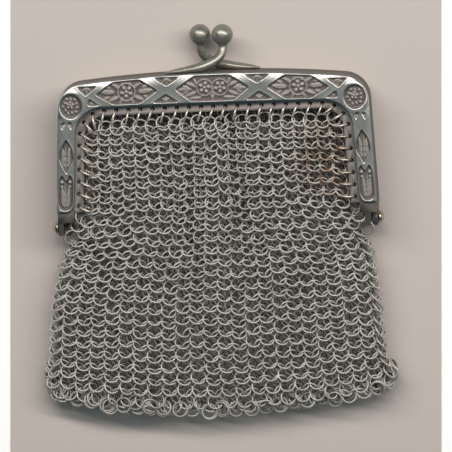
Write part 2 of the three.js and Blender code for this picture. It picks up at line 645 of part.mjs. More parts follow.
// The whole purse, its two jaws rim to rim at half the frame's thickness.
const purse = new THREE.Group();
const jawBody = jaw();
const armBody = claspArm();
const halves = [
  { name: "front", turn: 0, rimZ: (THICKNESS + GAP) / 2 },
  { name: "back", turn: Math.PI, rimZ: (THICKNESS - GAP) / 2 },
];
for (const { name, turn, rimZ } of halves) {
  const half = new THREE.Group();
  half.add(named(`${name}_jaw`, jawBody, JAW_SILVER), named(`${name}_clasp`, armBody, CLASP_SILVER));
  half.rotation.y = turn;
  half.position.z = rimZ;
  purse.add(half);
}
for (const [name, side] of [["left_hinge_rivet", -1], ["right_hinge_rivet", 1]]) {
  const pin = named(name, rivet(side), RIVET_SILVER);
  pin.position.set(0, HINGE_Y, THICKNESS / 2);
  purse.add(pin);
}
purse.add(named("mesh_bag", bagSkin(false).subtract(bagSkin(true)), MESH_SILVER));

// The origin is under the middle of the purse's own box.
const part = new THREE.Group();
part.add(purse);
const size = new THREE.Box3().setFromObject(purse);
const middle = size.getCenter(new THREE.Vector3());
purse.position.set(-middle.x, -middle.y, -size.min.z);

export default part;
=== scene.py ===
import bpy
import math
import random
import numpy as np
from mathutils import Matrix, Vector
from mathutils.bvhtree import BVHTree


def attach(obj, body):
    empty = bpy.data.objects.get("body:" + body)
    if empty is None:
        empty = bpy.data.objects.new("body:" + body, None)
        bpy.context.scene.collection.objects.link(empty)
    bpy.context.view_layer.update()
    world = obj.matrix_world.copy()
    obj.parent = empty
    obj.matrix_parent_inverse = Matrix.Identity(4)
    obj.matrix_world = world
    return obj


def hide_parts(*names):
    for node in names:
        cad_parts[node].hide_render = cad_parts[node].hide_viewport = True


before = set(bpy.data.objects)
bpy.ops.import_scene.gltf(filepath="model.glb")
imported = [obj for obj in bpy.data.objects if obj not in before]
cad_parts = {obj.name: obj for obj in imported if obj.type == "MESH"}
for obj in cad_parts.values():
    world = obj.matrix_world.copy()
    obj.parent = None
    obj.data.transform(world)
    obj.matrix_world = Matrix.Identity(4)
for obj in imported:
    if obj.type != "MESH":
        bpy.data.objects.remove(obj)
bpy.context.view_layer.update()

MM = 0.001
SHIFT = Vector((0.632, 0.190, 0.0))  # from the middle between the hinges to the part's origin, mm
THICK = 9.0  # the closed purse, front to back
MIDDLE_Z = THICK / 2
QUARTER = math.pi / 2
dice = random.Random(1907)


def new_object(name, data):
    thing = bpy.data.objects.new(name, data)
    bpy.context.scene.collection.objects.link(thing)
    return thing


def pick(piece, *others):
    """Selects a piece, and others with it, and makes it the active one."""
    bpy.ops.object.select_all(action="DESELECT")
    for each in (piece, *others):
        each.select_set(True)
    bpy.context.view_layer.objects.active = piece


def edit_all(piece):
    pick(piece)
    bpy.ops.object.mode_set(mode="EDIT")
    bpy.ops.mesh.select_all(action="SELECT")


# The camera looks down on the purse's face, leaning slightly
PICTURE = 452  # pixels, both ways
LOOK = Vector((0.061, 0.096, 1.0)).normalized()
ROLL = math.radians(2.36)

lens = bpy.data.cameras.new("copy_stand_camera")
lens.type = "ORTHO"
lens.ortho_scale = 0.0901
lens.clip_start = 0.01
lens.clip_end = 5.0
camera = new_object("copy_stand_camera", lens)
aim = Vector((2.30, -0.58, THICK)) * MM
up = Vector((math.sin(ROLL), math.cos(ROLL), 0.0))
side = up.cross(LOOK).normalized()
up = LOOK.cross(side).normalized()
turn = Matrix((side, up, LOOK)).transposed().to_4x4()
camera.matrix_world = Matrix.Translation(aim + LOOK * 0.4) @ turn
bpy.context.scene.camera = camera


def node_material(name):
    material = bpy.data.materials.new(name)
    material.use_nodes = True
    tree = material.node_tree
    tree.nodes.clear()
    out = tree.nodes.new("ShaderNodeOutputMaterial")
    shader = tree.nodes.new("ShaderNodeBsdfPrincipled")
    tree.links.new(shader.outputs["BSDF"], out.inputs["Surface"])
    return material, tree, shader


def add(tree, kind, **settings):
    node = tree.nodes.new(kind)
    for key, value in settings.items():
        setattr(node, key, value)
    return node


def math_node(tree, what, first, second):
    node = add(tree, "ShaderNodeMath", operation=what)
    for place, value in enumerate((first, second)):
        if isinstance(value, (int, float)):
            node.inputs[place].default_value = value
        else:
            tree.links.new(value, node.inputs[place])
    return node.outputs[0]


def spread(tree, value, low, high, to_low=0.0, to_high=1.0):
    """A value eased from one range to another."""
    node = add(tree, "ShaderNodeMapRange", interpolation_type="SMOOTHSTEP")
    tree.links.new(value, node.inputs["Value"])
    for key, amount in (("From Min", low), ("From Max", high), ("To Min", to_low), ("To Max", to_high)):
        node.inputs[key].default_value = amount
    return node.outputs["Result"]


def grain(tree, size, detail, roughness=0.55):
    """Noise whose lumps are about size millimetres across, laid out on the piece's own axes."""
    noise = add(tree, "ShaderNodeTexNoise")
    noise.inputs["Scale"].default_value = 1.0 / (size * MM)
    noise.inputs["Detail"].default_value = detail
    noise.inputs["Roughness"].default_value = roughness
    tree.links.new(add(tree, "ShaderNodeTexCoord").outputs["Object"], noise.inputs["Vector"])
    return noise.outputs["Fac"]


def blend(tree, share, first, second):
    """The first colour where the share is 0, and the second where it is 1."""
    node = add(tree, "ShaderNodeMix", data_type="RGBA", blend_type="MIX")
    tree.links.new(share, node.inputs[0])
    colour_sockets = (6, 7)
    for place, value in zip(colour_sockets, (first, second)):
        if isinstance(value, tuple):
            node.inputs[place].default_value = (*value, 1.0)
        else:
            tree.links.new(value, node.inputs[place])
    return node.outputs[2]


def bump(tree, shader, height, depth, strength):
    node = add(tree, "ShaderNodeBump")
    node.inputs["Strength"].default_value = strength
    node.inputs["Distance"].default_value = depth * MM
    tree.links.new(height, node.inputs["Height"])
    tree.links.new(node.outputs["Normal"], shader.inputs["Normal"])


def paper(name, first, second, glow=0.0):
    material, tree, shader = node_material(name)
    fleck = grain(tree, 0.6, 4.0, 0.6)
    tree.links.new(blend(tree, fleck, first, second), shader.inputs["Base Color"])
    shader.inputs["Roughness"].default_value = 0.85
    shader.inputs["Emission Color"].default_value = (1.0, 1.0, 1.0, 1.0)
    shader.inputs["Emission Strength"].default_value = glow
    bump(tree, shader, fleck, 0.02, 0.4)
    return material


def sheet(name, corners, height, material):
    """A flat sheet at a height in metres, with its corners in pixels from the picture's upper left."""
    pixel = lens.ortho_scale / PICTURE
    places = []
    for across, down in corners:
        place = aim + side * (across - PICTURE / 2) * pixel + up * (PICTURE / 2 - down) * pixel
        places.append(place - LOOK * (place.z - height) / LOOK.z)
    mesh = bpy.data.meshes.new(name)
    mesh.from_pydata(places, [], [(0, 1, 2, 3)])
    mesh.materials.append(material)
    piece = new_object(name, mesh)


CARD = paper("pale_card", (0.590, 0.560, 0.530), (0.630, 0.600, 0.570))
WHITE = paper("white_backing", (0.96, 0.96, 0.96), (0.98, 0.98, 0.98), glow=0.25)
sheet("card", [(10.5, 1200), (441.5, 1200), (441.5, -900), (10.5, -900)], 0.0, CARD)
sheet("backing", [(-1800, 2300), (2300, 2300), (2300, -1800), (-1800, -1800)], -0.0003, WHITE)

# One long lamp beyond the clasp, and soft light from above
tube = bpy.data.lights.new("long_lamp", "AREA")
tube.shape = "RECTANGLE"
tube.size, tube.size_y = 1.30, 0.10
tube.energy = 5.1
tube.color = (1.0, 0.895, 0.83)
lamp = new_object("long_lamp", tube)
lamp.location = (0.06, 0.30, 0.48)
lamp.rotation_euler = (-lamp.location).to_track_quat("-Z", "Y").to_euler()


def surroundings():
    world = bpy.data.worlds.new("studio_air")
    bpy.context.scene.world = world
    world.use_nodes = True
    tree = world.node_tree
    tree.nodes.clear()
    out = tree.nodes.new("ShaderNodeOutputWorld")
    air = tree.nodes.new("ShaderNodeBackground")
    tree.links.new(air.outputs[0], out.inputs[0])
    parts = add(tree, "ShaderNodeSeparateXYZ")
    tree.links.new(add(tree, "ShaderNodeTexCoord").outputs["Generated"], parts.inputs[0])
    overhead = spread(tree, parts.outputs["Z"], 0.72, 0.98)
    colour = blend(tree, overhead, (0.030, 0.062, 0.080), (0.200, 0.235, 0.235))
    tree.links.new(colour, air.inputs["Color"])
    air.inputs["Strength"].default_value = 1.0


surroundings()
bpy.context.scene.view_settings.view_transform = "Standard"

# Silver finishes
RUST = (0.30, 0.17, 0.085)
RUST_AT = (23.0, 12.0, 5.0)  # the middle of the coppery patch, mm
RUST_REACH = (9.0, 11.0, 9.0)
RUST_SHARE = 0.85
# Dark colour of grime, also used as painted shade on the rings' inner sides and on the sunk half rows
GRIME_AND_SHADE = (0.205, 0.202, 0.190)


def worn(tree):
    return add(tree, "ShaderNodeAttribute", attribute_name="wear").outputs["Fac"]


def wire_silver(name, light, dark, gloss, metal=1.0, rusty=False, grimy_and_shaded=False, pitting=0.012):
    """Drawn nickel-silver wire under a clouded tarnish, rusty in one patch, and darker where it isn't rubbed, which
    is grime and painted shade together.
    """
    material, tree, shader = node_material(name)
    cloud = grain(tree, 4.0, 3.0)
    speck = grain(tree, 0.5, 4.0, 0.7)
    mostly_cloud = math_node(tree, "MULTIPLY", cloud, 0.6)
    mixed = math_node(tree, "ADD", mostly_cloud, math_node(tree, "MULTIPLY", speck, 0.4))
    colour = blend(tree, spread(tree, mixed, 0.36, 0.60), dark, light)
    if rusty:
        mapping = add(tree, "ShaderNodeMapping", vector_type="TEXTURE")
        mapping.inputs["Location"].default_value = [c * MM for c in RUST_AT]
        mapping.inputs["Scale"].default_value = [c * MM for c in RUST_REACH]
        tree.links.new(add(tree, "ShaderNodeTexCoord").outputs["Object"], mapping.inputs["Vector"])
        length = add(tree, "ShaderNodeVectorMath", operation="LENGTH")
        tree.links.new(mapping.outputs["Vector"], length.inputs[0])
        near = spread(tree, length.outputs["Value"], 1.0, 0.35)
        patch = math_node(tree, "MULTIPLY", near, spread(tree, grain(tree, 1.6, 3.0), 0.40, 0.62))
        colour = blend(tree, math_node(tree, "MULTIPLY", patch, RUST_SHARE), colour, RUST)
    # Grime and painted shade: darker where the wear attribute is low
    if grimy_and_shaded:
        colour = blend(tree, spread(tree, worn(tree), 0.02, 0.74), GRIME_AND_SHADE, colour)
    tree.links.new(colour, shader.inputs["Base Color"])
    shader.inputs["Metallic"].default_value = metal
    tree.links.new(spread(tree, speck, 0.3, 0.7, gloss - 0.06, gloss + 0.12), shader.inputs["Roughness"])
    bump(tree, shader, speck, pitting, 0.3)
    return material


def struck_silver(name, face, relief, pit, gloss):
    """Struck nickel-silver, from grime in its pits to bare metal on what is rubbed, by the piece's own wear."""
    material, tree, shader = node_material(name)
    speck = grain(tree, 0.35, 4.0, 0.7)
    cloud = grain(tree, 3.5, 3.0)
    uneven = math_node(tree, "MULTIPLY", math_node(tree, "SUBTRACT", speck, 0.5), 0.5)
    reach = math_node(tree, "ADD", worn(tree), uneven)
    rubbed = blend(tree, spread(tree, cloud, 0.35, 0.65), tuple(c * 0.86 for c in face), face)
    lower = blend(tree, spread(tree, reach, 0.0, 0.5), pit, relief)
    clear = spread(tree, reach, 0.5, 0.95)
    tree.links.new(blend(tree, clear, lower, rubbed), shader.inputs["Base Color"])
    shader.inputs["Metallic"].default_value = 1.0
    duller = 0.26  # where it isn't rubbed
    rough = math_node(tree, "SUBTRACT", gloss + duller, math_node(tree, "MULTIPLY", clear, duller))
    rough = math_node(tree, "ADD", rough, math_node(tree, "MULTIPLY", speck, 0.08))
    tree.links.new(rough, shader.inputs["Roughness"])
    bump(tree, shader, speck, 0.02, 0.3)
    return material


# The rings' colour carries painted shade as well as tarnish, through the grime blend
RING_SILVER = wire_silver(
    "tarnished_shaded_ring_silver", (0.665, 0.665, 0.625), (0.51, 0.508, 0.48), 0.56, metal=0.62, rusty=True, grimy_and_shaded=True
)
TIE_SILVER = wire_silver("tie_ring_silver", (0.92, 0.87, 0.78), (0.72, 0.67, 0.59), 0.40, metal=0.75, rusty=True)
JAW_SILVER = struck_silver(
    "struck_frame_silver", (0.50, 0.515, 0.50), (0.42, 0.408, 0.39), (0.185, 0.173, 0.162), 0.33
)
CLASP_SILVER = wire_silver(
    "clasp_silver", (0.345, 0.355, 0.315), (0.25, 0.255, 0.225), 0.36, metal=0.75, pitting=0.003
)
RIVET_SILVER = wire_silver("rivet_silver", (0.45, 0.41, 0.30), (0.24, 0.21, 0.16), 0.30)

# The ring mesh, in half rows from the flange down
RING_R = 1.47  # to the middle of the wire
WIRE_R = 0.19
RING_TURNS = 14
WIRE_SIDES = 5
HALF_ROWS = 49
LOOSE_FROM = 47  # the half rows from here on are the loose bottom edge
COLUMNS = 48  # round the whole bag
OPEN_COLUMNS = 22  # between the legs
ROW_SPARE = 0.4  # an open row's rings are spaced as if it were this much longer
ROW_END = 0.9  # and none comes nearer to its end than this

# Half rows by turns hang down and reach up
LEAN = (-math.radians(38), math.radians(27))
# Wear level of each kind of half row; the lower level of the rows that reach up, which lie deeper, is painted shade
# as well as grime
WEAR_AND_LIGHT_LEVELS = (0.62, 0.34)
SPLAY = math.radians(11)
UPWARD_DROP = 0.16  # those that reach up hang this much below the middle of the space between their neighbours
UPWARD_SINK = 0.32  # and lie this much deeper in the cloth
STAND_OUT_WEAR_AND_LIGHT = 0.50  # more wear and painted light on the side of a ring that stands out, painted shade on its inner side

SHEET_HALF = 1.17  # half the thickness of the ring cloth
HINGE_LINE = -2.05
BAG_HALF = 35.0
BAG_DROP = 37.65
BAG_SAG = 3.9
BAG_CORE_Z = 3.6  # the middle of the bag's thickness, below the hinges
OPEN_CORE_Z = 4.05  # and between the legs
SIDE_TURN = 4.0  # how far in from its sides the bag's section starts to curve round
SEEN_HALF = 33.0
RAY_FROM = 40.0

# Soft valleys down the front: place across at their top and bottom, half width, depth, top and bottom ends
VALLEYS = [
    (4.5, 4.3, 1.6, 2.3, 21.0, -14.0),
    (-4.2, -6.4, 1.7, 1.8, 17.0, -20.0),
    (-9.8, -10.5, 1.6, 0.5, 14.0, -12.0),
    (17.6, 17.0, 1.8, 0.7, 12.0, -6.0),
    (11.2, 11.6, 1.4, 0.4, 19.0, 2.0),
    (-23.5, -21.0, 1.6, 0.7, 18.0, 0.0),
    (-16.5, -15.5, 1.5, 0.35, 20.0, 2.0),
]

bag_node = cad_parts["mesh_bag"]
bag_shape = BVHTree.FromPolygons(
    [v.co / MM for v in bag_node.data.vertices], [tuple(p.vertices) for p in bag_node.data.polygons]
)


def eased(x, low, high):
    t = np.clip((x - low) / (high - low), 0.0, 1.0)
    return t * t * (3 - 2 * t)


def hit(start, way):
    return bag_shape.ray_cast(Vector(start) + SHIFT, Vector(way))[0]


def row_y(k):
    """The height of a half row at the middle of the front."""
    return 19.8 - 1.135 * k - 0.00065 * k * k


def at_height(down, x):
    """The height that a row has at a place across. Below the hinges the rows sag in the middle of the bag."""
    dip = 0.35 * (abs(x) / 26) ** 2
    if down <= 0:
        return HINGE_LINE - down - dip
    share = min(abs(x) / BAG_HALF, 1.0)
    near = dip * max(0.0, 1 - down / 8)
    return HINGE_LINE - near - down * (BAG_DROP - BAG_SAG * share**2) / BAG_DROP


def valley_depth(x, y):
    depth = 0.0
    for top_x, low_x, half, deep, top_y, low_y in VALLEYS:
        share = min(max((top_y - y) / (top_y - low_y), 0.0), 1.0)
        here = top_x + (low_x - top_x) * share
        ends = min(1.0, 6 * share + 0.35 * (y < top_y)) * min(1.0, 2.2 * (1 - share))
        depth += deep * ends * math.exp(-(((x - here) / half) ** 2))
    return depth


def face_line(down, facing):
    """Points across one side of the open top of the bag, from left to right."""
    line = []
    for x in np.arange(-SEEN_HALF, SEEN_HALF + 0.01, 0.4):
        y = at_height(down, x)
        place = hit((x, y, facing * RAY_FROM), (0, 0, -facing))
        if place and (place.z - OPEN_CORE_Z) * facing > 0.5:
            line.append(Vector((x, y, place.z - (valley_depth(x, y) if facing > 0 else 0.0))))
    return line


def side_x(down, way):
    return hit((60 * way, at_height(down, SEEN_HALF * way), BAG_CORE_Z), (-way, 0, 0)).x - SHIFT.x


def round_line(down):
    """Points round the bag below the hinges, from the middle of the front to the right and round."""
    right, left = side_x(down, 1), side_x(down, -1)
    middle = (right + left) / 2
    right_turn, left_turn = right - SIDE_TURN, left + SIDE_TURN
    rays = [(x, QUARTER) for x in np.linspace(middle, right_turn, 75)]
    rays += [(right_turn, a) for a in np.linspace(QUARTER, -QUARTER, 19)[1:-1]]
    rays += [(x, -QUARTER) for x in np.linspace(right_turn, left_turn, 59)]
    rays += [(left_turn, a) for a in np.linspace(-QUARTER, -3 * QUARTER, 19)[1:-1]]
    rays += [(x, QUARTER) for x in np.linspace(left_turn, middle, 75)[:-1]]
    line = []
    for x, angle in rays:
        y = at_height(down, x)
        way = Vector((math.cos(angle), 0, math.sin(angle)))
        place = hit(Vector((x, y, BAG_CORE_Z)) + way * 60, -way)
        if place:
            sink = valley_depth(place.x - SHIFT.x, y) if angle == QUARTER else 0.0
            line.append(Vector((place.x - SHIFT.x, y, place.z - sink)))
    return line


class Row:
    """One row's line, drawn in by half the cloth's thickness. It gives the place at a distance along it."""

    def __init__(self, line, closed, outward):
        points = np.array([tuple(p) for p in line])
        for _ in range(2):
            if closed:
                points = (np.roll(points, 1, 0) + 2 * points + np.roll(points, -1, 0)) / 4
            else:
                points[1:-1] = (points[:-2] + 2 * points[1:-1] + points[2:]) / 4
        along = np.roll(points, -1, 0) - np.roll(points, 1, 0) if closed else np.gradient(points, axis=0)
        normal = np.stack([-along[:, 2], np.zeros(len(along)), along[:, 0]], 1)
        normal /= np.linalg.norm(normal, axis=1)[:, None]
        less_below = 1 - 0.45 * np.minimum(normal[:, :1], 0) ** 2
        self.points = points - normal * outward * SHEET_HALF * less_below
        if closed:
            self.points = np.vstack([self.points, self.points[:1]])
        steps = np.linalg.norm(np.diff(self.points, axis=0), axis=1)
        self.length = np.concatenate([[0.0], np.cumsum(steps)])
        self.total = self.length[-1]
        self.closed = closed
        self.start = 0.0 if closed else self.total / 2

    def at(self, distance):
        s = self.start + distance
        if self.closed:
            s %= self.total
        return Vector([np.interp(s, self.length, self.points[:, a]) for a in range(3)])


def ring_vectors(across, up_way, lean, splay):
    """A ring's own two axes and normal, for a sheet whose directions are given."""
    across = across.normalized()
    outward = across.cross(up_way).normalized()
    up_way = outward.cross(across).normalized()
    n = Vector((math.sin(splay), -math.sin(lean) * math.cos(splay), math.cos(lean) * math.cos(splay)))
    return facing_ring(across * n.x + up_way * n.y + outward * n.z, across, outward)


def facing_ring(normal, across, outward=Vector((0, 0, 1))):
    normal = normal.normalized()
    first = (across - normal * across.dot(normal)).normalized()
    return first, normal.cross(first), normal, outward


def ring_arrays(rings, turns, sides):
    """Vertices, faces and wear of many rings, with painted shade carried in the wear.

    Each ring is its centre, first axis, second axis, normal, outward way, radius, wire's radius and wear level,
    which also paints shade.
    """
    around = np.linspace(0, 2 * math.pi, turns, endpoint=False)
    about = np.linspace(0, 2 * math.pi, sides, endpoint=False) + 0.3
    data = np.array([[*c, *a, *b, *n, *o, r, w, level] for c, a, b, n, o, r, w, level in rings])
    centre, first, second, normal, outward = (data[:, k:k + 3] for k in (0, 3, 6, 9, 12))
    big, small, level = data[:, 15, None, None], data[:, 16, None, None], data[:, 17, None, None]
    out = first[:, None, :] * np.cos(around)[None, :, None] + second[:, None, :] * np.sin(around)[None, :, None]
    far = big + small * np.cos(about)[None, None, :]
    lift = (small * np.sin(about)[None, None, :])[..., None]
    offset = out[:, :, None, :] * far[..., None] + normal[:, None, None, :] * lift
    verts = centre[:, None, None, :] + offset
    # Painted light and shade as well as wear: the side of a ring that stands out of the cloth is lighter, its inner
    # side darker
    stands_out = (offset * outward[:, None, None, :]).sum(-1) / RING_R
    wear = np.clip(level + STAND_OUT_WEAR_AND_LIGHT * stands_out, 0, 1)
    t, s = np.meshgrid(np.arange(turns), np.arange(sides), indexing="ij")
    t2, s2 = (t + 1) % turns, (s + 1) % sides
    quad = np.stack([t * sides + s, t2 * sides + s, t2 * sides + s2, t * sides + s2], -1).reshape(-1, 4)
    faces = (quad[None] + (np.arange(len(rings)) * turns * sides)[:, None, None]).reshape(-1, 4)
    return verts.reshape(-1, 3), faces, wear.ravel()


def set_wear(piece, values):
    layer = piece.data.attributes.new("wear", "FLOAT", "POINT")
    layer.data.foreach_set("value", np.asarray(values, np.float32))


def quad_piece(name, verts, faces, material):
    """A piece from arrays of places in millimetres and four-sided faces."""
    verts = (verts + np.array(SHIFT)) * MM
    mesh = bpy.data.meshes.new(name)
    mesh.vertices.add(len(verts))
    mesh.vertices.foreach_set("co", verts.astype(np.float32).ravel())
    mesh.loops.add(faces.size)
    mesh.loops.foreach_set("vertex_index", faces.astype(np.int32).ravel())
    mesh.polygons.add(len(faces))
    mesh.polygons.foreach_set("loop_start", np.arange(0, faces.size, 4, dtype=np.int32))
    mesh.polygons.foreach_set("use_smooth", np.ones(len(faces), bool))
    mesh.update(calc_edges=True)
    mesh.materials.append(material)
    return new_object(name, mesh)


def joined_rings(name, rings, material, turns=RING_TURNS, sides=WIRE_SIDES):
    """Many rings as one piece. A ring that would dip into the floor is raised to lie on it."""
    verts, faces, wear = ring_arrays(rings, turns, sides)
    each = verts.reshape(len(rings), -1, 3)
    each[:, :, 2] += np.maximum(0.02 - each[:, :, 2].min(1), 0)[:, None]
    piece = quad_piece(name, verts, faces, material)
    set_wear(piece, wear)
    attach(piece, "root")
    return piece


def row_lines():
    """Each half row's line: one all round below the hinges, and one on each side above them."""
    lines = {}
    for k in range(HALF_ROWS):
        down = HINGE_LINE - row_y(k)
        if down > 0.5:
            lines[k] = {"round": Row(round_line(down), True, 1)}
        else:
            lines[k] = {f: Row(face_line(down, f), False, f) for f in (1, -1)}
    return lines


LINES = row_lines()


def ring_places():
    """Every ring's middle, by half row, side of the bag and place across."""
    grid = {}
    for k, sides in LINES.items():
        half = 0.0 if k % 2 else 0.5
        if "round" in sides:
            row = sides["round"]
            for j in range(COLUMNS):
                in_front = j < COLUMNS // 4 or j >= COLUMNS * 3 // 4
                grid[k, 1 if in_front else -1, j] = row.at((j + half) * row.total / COLUMNS)
            continue
        for facing, row in sides.items():
            pitch = (row.total + ROW_SPARE) / OPEN_COLUMNS
            for i in range(-OPEN_COLUMNS // 2, OPEN_COLUMNS // 2 + 1):
                place = (i + half) * pitch
                if abs(place) < row.total / 2 - ROW_END:
                    j = i if facing > 0 else COLUMNS // 2 - i - (1 if half else 0)
                    grid[k, facing, j % COLUMNS] = row.at(place)
    return grid


def woven_rings():
    grid = ring_places()
    seam = min(k for k, sides in LINES.items() if "round" in sides)

    def find(k, f, j):
        j %= COLUMNS
        return grid.get((k, f, j)) or (grid.get((k, -f, j)) if k >= seam else None)

    woven = {1: [], -1: []}
    for (k, f, j), place in grid.items():
        left, right = find(k, f, j - 1) or place, find(k, f, j + 1) or place
        above, below = find(k - 2, f, j) or place, find(k + 2, f, j) or place
        across, upward = right - left, above - below
        reaches_up = k % 2
        loose = 1.0 if k < LOOSE_FROM else 2.0
        lean = LEAN[reaches_up]
        if k == 0:
            lean *= 0.45
        elif k >= LOOSE_FROM:
            lean *= 0.6
        lean += math.radians(dice.gauss(0, 5) * loose)
        splay = SPLAY + math.radians(dice.gauss(0, 6) * loose)
        axes = ring_vectors(across, upward, lean, splay)
        jog = Vector((dice.gauss(0, 0.05), dice.gauss(0, 0.06), dice.gauss(0, 0.05)))
        if 0 < k < LOOSE_FROM:
            sway = 0.32 * math.sin(0.42 * place.x + 0.10 * k) + 0.24 * math.sin(0.95 * place.x - 0.17 * k + 1.3)
            jog.y += sway * min(k / 6, 1.0, (LOOSE_FROM - k) / 6)
        if k == 0:
            jog.y += 0.55 * (j % 3 == 1) - 0.2
        elif reaches_up:
            jog.y -= UPWARD_DROP
            jog -= axes[3] * UPWARD_SINK
        woven[f].append((place + jog, *axes, RING_R, WIRE_R, WEAR_AND_LIGHT_LEVELS[reaches_up]))
    return woven


woven = woven_rings()
for side_name, facing in (("front", 1), ("back", -1)):
    cloth = joined_rings(f"ring_mesh_{side_name}", woven[facing], RING_SILVER)
    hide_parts("mesh_bag")

# Rings gathered at the hinges: place, tilt and the way of the tilt
HINGE_RINGS = [
    (-27.4, 1.9, 6.4, 50, 10), (-28.0, 0.2, 6.8, 35, 80), (-27.2, -1.2, 6.2, 30, 200), (-29.4, -2.2, 6.0, 25, 320),
    (27.6, 2.1, 6.4, 50, 170), (28.2, 0.3, 6.8, 35, 100), (27.3, -1.2, 6.2, 30, 340), (29.6, -2.3, 6.0, 25, 220),
]
# Rings that stand off at the bottom corners: place across and up, tilt and the way of the tilt
CORNER_RINGS = [
    (-35.0, -29.3, 78, 40), (-34.8, -30.0, 72, 120), (-34.3, -32.6, 20, 0), (-33.6, -33.8, 66, 150),
    (-34.0, -31.4, 60, 60), (33.5, -30.6, 70, 20), (33.2, -31.8, 25, 200), (32.2, -33.2, 55, 100),
    (30.5, -34.4, 60, 200), (28.6, -35.0, 45, 60),
]
FRILL_KNOTS = 23
FRILL_WEAR = 0.40


def frill_y(x):
    return -37.9 + 4.4 * (x / BAG_HALF) ** 2


def bottom_frill():
    """Loose doubled rings along the bottom edge, and a few that stand off at its corners."""
    frill = []

    def hang(place, tilt, turn, twins):
        normal = Vector((math.sin(tilt) * math.cos(turn), math.sin(tilt) * math.sin(turn), math.cos(tilt)))
        for n in range(twins):
            step = normal * 0.36 * n + Vector((0.3 * n * dice.uniform(-1, 1), 0.35 * n * dice.uniform(-1, 1), 0))
            frill.append((place + step, *facing_ring(normal, Vector((1, 0, 0))), RING_R, WIRE_R, FRILL_WEAR))

    for n in range(FRILL_KNOTS):
        x = -32.2 + 62.6 * n / (FRILL_KNOTS - 1) + dice.uniform(-0.3, 0.3)
        place = Vector((x, frill_y(x) + dice.uniform(-0.4, 0.4), dice.uniform(4.2, 5.4)))
        hang(place, math.radians(dice.uniform(4, 24)), dice.uniform(0, 2 * math.pi), dice.choice((2, 3)))
        place += Vector((dice.uniform(-0.9, 0.9), 0.9 + dice.uniform(-0.3, 0.3), -0.8))
        hang(place, math.radians(dice.uniform(20, 45)), dice.uniform(0, 2 * math.pi), 1)
        x += 1.45
        place = Vector((x, frill_y(x) + 0.5 + dice.uniform(-0.4, 0.4), dice.uniform(3.0, 4.4)))
        hang(place, math.radians(dice.choice((30, 50, 68))), dice.uniform(0, 2 * math.pi), dice.choice((1, 2)))
    for x, y, z, tilt, turn in HINGE_RINGS:
        hang(Vector((x, y, z)), math.radians(tilt), math.radians(turn), 1)
    for x, y, tilt, turn in CORNER_RINGS:
        hang(Vector((x, y, dice.uniform(2.0, 3.6))), math.radians(tilt), math.radians(turn), 2)
    return frill


joined_rings("bottom_frill", bottom_frill(), RING_SILVER)

# The frame's edges: half width at the foot and at the shoulder, crown, shoulder height and corner radius
OUTER_EDGE = (32.1, 30.95, 30.0, 28.15, 5.3)
FACE_EDGE = (28.6, 27.45, 23.9, 23.75, 5.9)
LEG_WIDE = 3.5
FOOT_Y = 2.9
FOOT_ROUND = 1.6
HOLE_INSET = 0.8
HOLE_PITCH = 2.42


def inset(edge, by):
    foot_half, shoulder_half, crown, shoulder, radius = edge
    return foot_half - by, shoulder_half - by, crown - by, shoulder - by, max(radius - by, 0.3)


def leg_half(edge, y):
    foot_half, shoulder_half, _, shoulder, _ = edge
    return foot_half + (shoulder_half - foot_half) * y / shoulder


def arch(edge, foot_y, leg_steps, corner_steps, bar_steps):
    """An edge's points from its left foot over the crown to its right foot."""
    _, shoulder_half, crown_y, shoulder_y, radius = edge
    corner = np.array([shoulder_half, shoulder_y])
    slope = 2 * (crown_y - shoulder_y) / (shoulder_half + radius)
    foot = np.array([leg_half(edge, foot_y), foot_y])
    down = (foot - corner) / np.linalg.norm(foot - corner)
    along = np.array([-1.0, slope]) / math.hypot(1, slope)
    half_angle = math.acos(down @ along) / 2
    middle = (down + along) / np.linalg.norm(down + along) * radius / math.sin(half_angle) + corner
    tangent = radius / math.tan(half_angle)
    ends = [corner + way * tangent - middle for way in (down, along)]
    start, end = (math.atan2(e[1], e[0]) for e in ends)
    angles = np.linspace(start, end, corner_steps + 1)
    bend = middle + radius * np.stack([np.cos(angles), np.sin(angles)], 1)
    leg = foot + (bend[0] - foot) * np.linspace(0, 1, leg_steps, endpoint=False)[:, None]
    shoulder = bend[-1]
    share = 1 - np.arange(1, bar_steps + 1) / bar_steps
    rise = slope * shoulder[0] / 2
    bar = np.stack([shoulder[0] * share, shoulder[1] + rise * (1 - share**2)], 1)
    right = np.vstack([leg, bend, bar])
    left = right[:-1] * [-1, 1]
    return np.vstack([left, right[::-1]])


# The rings that tie the mesh to the flange, one through each hole
TIE_R = 1.40
TIE_TURNS, TIE_SIDES = 18, 6
TIE_REACH = 1.56  # from the hole to the middle of its ring
TIE_OFF = 2.55  # from the middle of the purse's thickness
TIE_WEAR = 0.52
TIE_SLANT = -21  # degrees, and on the legs' outer side less
LEG_SLANT = -8


def flange_holes():
    points = arch(inset(FACE_EDGE, HOLE_INSET), FOOT_Y + HOLE_PITCH / 2, 1, 6, 4)
    length = np.concatenate([[0.0], np.cumsum(np.linalg.norm(np.diff(points, axis=0), axis=1))])
    count = round(length[-1] / HOLE_PITCH)
    places = np.linspace(0, length[-1], count + 1)
    spots = np.stack([np.interp(places, length, points[:, a]) for a in range(2)], 1)
    ways = np.gradient(spots, axis=0)
    inward = np.stack([ways[:, 1], -ways[:, 0]], 1)
    return spots, inward / np.linalg.norm(inward, axis=1)[:, None]


